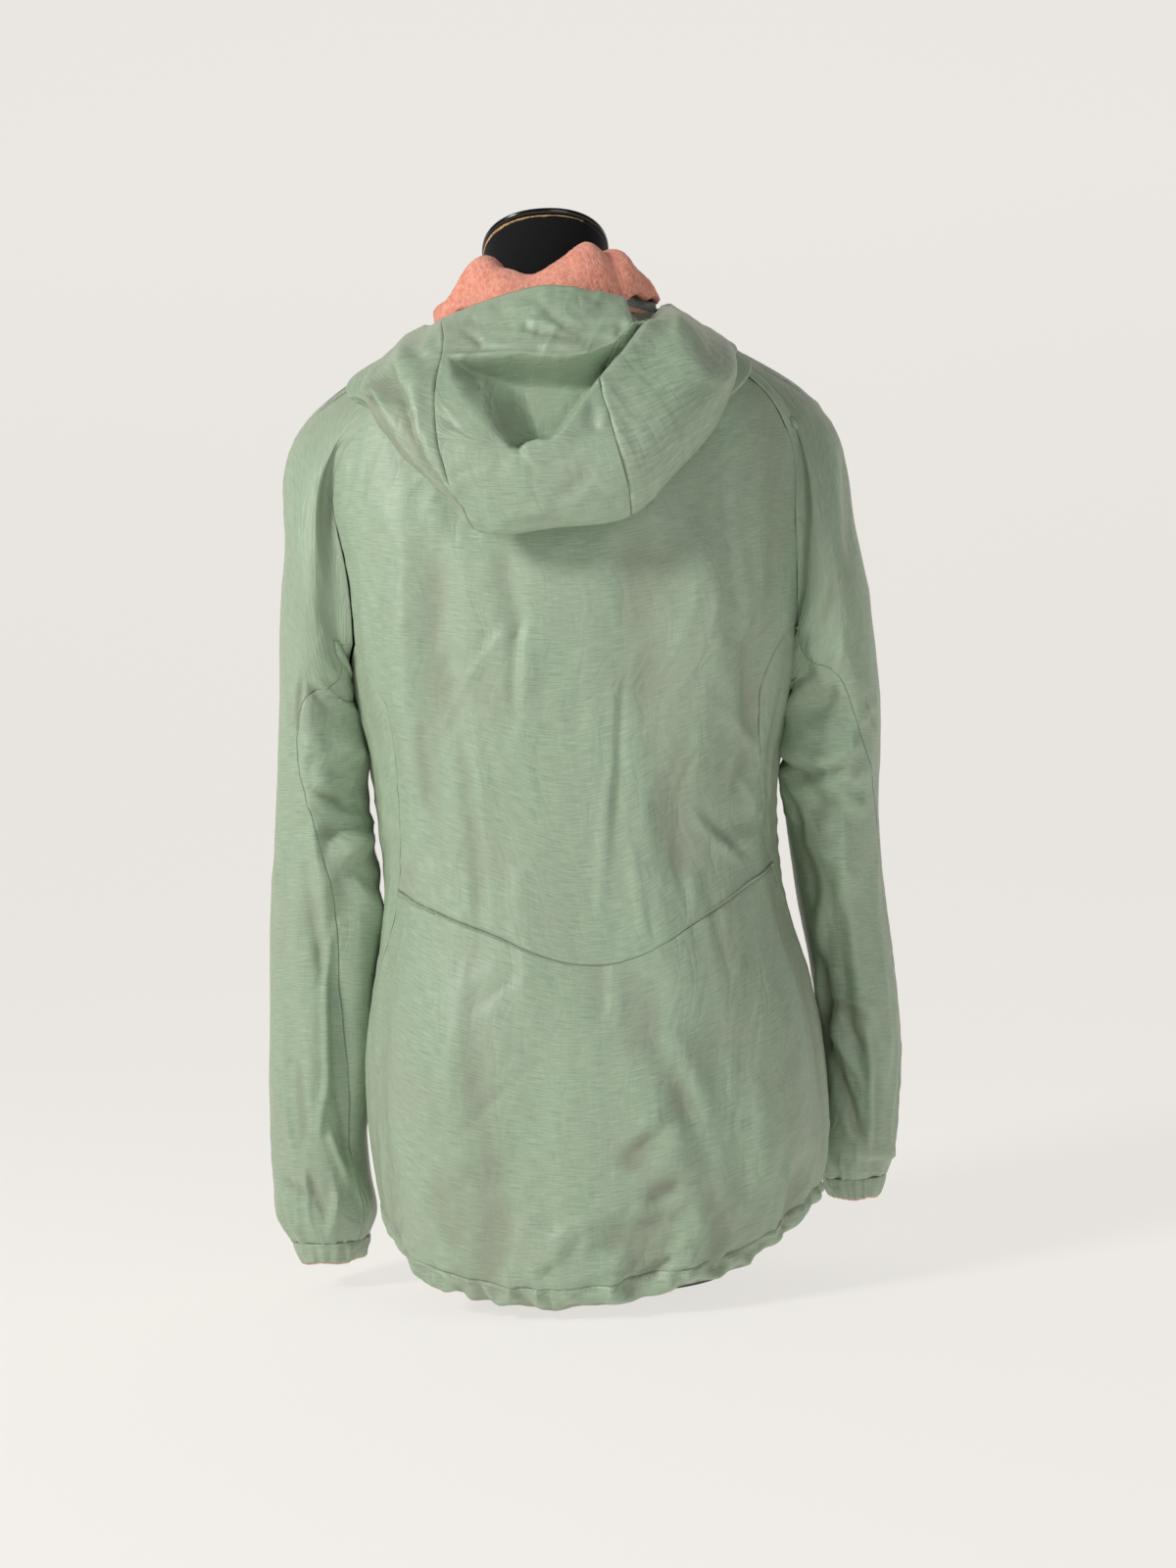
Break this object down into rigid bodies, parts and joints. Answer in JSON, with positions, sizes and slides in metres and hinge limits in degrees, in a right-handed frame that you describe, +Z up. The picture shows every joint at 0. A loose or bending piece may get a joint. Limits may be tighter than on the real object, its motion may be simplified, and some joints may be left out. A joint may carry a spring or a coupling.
{
  "type": "hooded insulated jacket on a limbless dress form",
  "caption": "Women's hooded, insulated zip jacket with a pile-lined hood, raglan sleeves and a dropped gathered hem, worn by a limbless torso form with a capped neck.",
  "frame": {"origin": "middle of the dress form's flat underside", "axes": "+X to the wearer's right, +Y to the wearer's front, +Z up"},
  "size_m": [0.5012, 0.3329, 0.8196],
  "materials": {
    "shell": "satin",
    "pile": "matte",
    "zip_tape": "matte",
    "metal": "satin",
    "form": "matte",
    "cap": "gloss"
  },
  "bodies": {
    "jacket": {"back_upper": "shell", "back_lower": "shell", "side_left": "shell", "side_right": "shell", "front_left": "shell", "front_right": "shell", "sleeve_left": "shell", "sleeve_right": "shell", "under_sleeve_left": "shell", "under_sleeve_right": "shell", "cuff_left": "shell", "cuff_right": "shell", "hem_casing": "shell", "hood_left": "shell", "hood_middle": "shell", "hood_right": "shell", "hood_lining": "pile", "zip_left": "zip_tape", "zip_right": "zip_tape", "zip_slider": "metal", "form_body": "form", "form_cap": "cap"},
    "pull": {"zip_pull": "metal"}
  },
  "joints": [
    {"name": "zip_pull_swing", "type": "hinge", "parent": "jacket", "child": "pull", "pos_m": [0, 0.08625, 0.745], "axis": [1, 0, 0], "range_deg": [0, 120]}
  ]
}
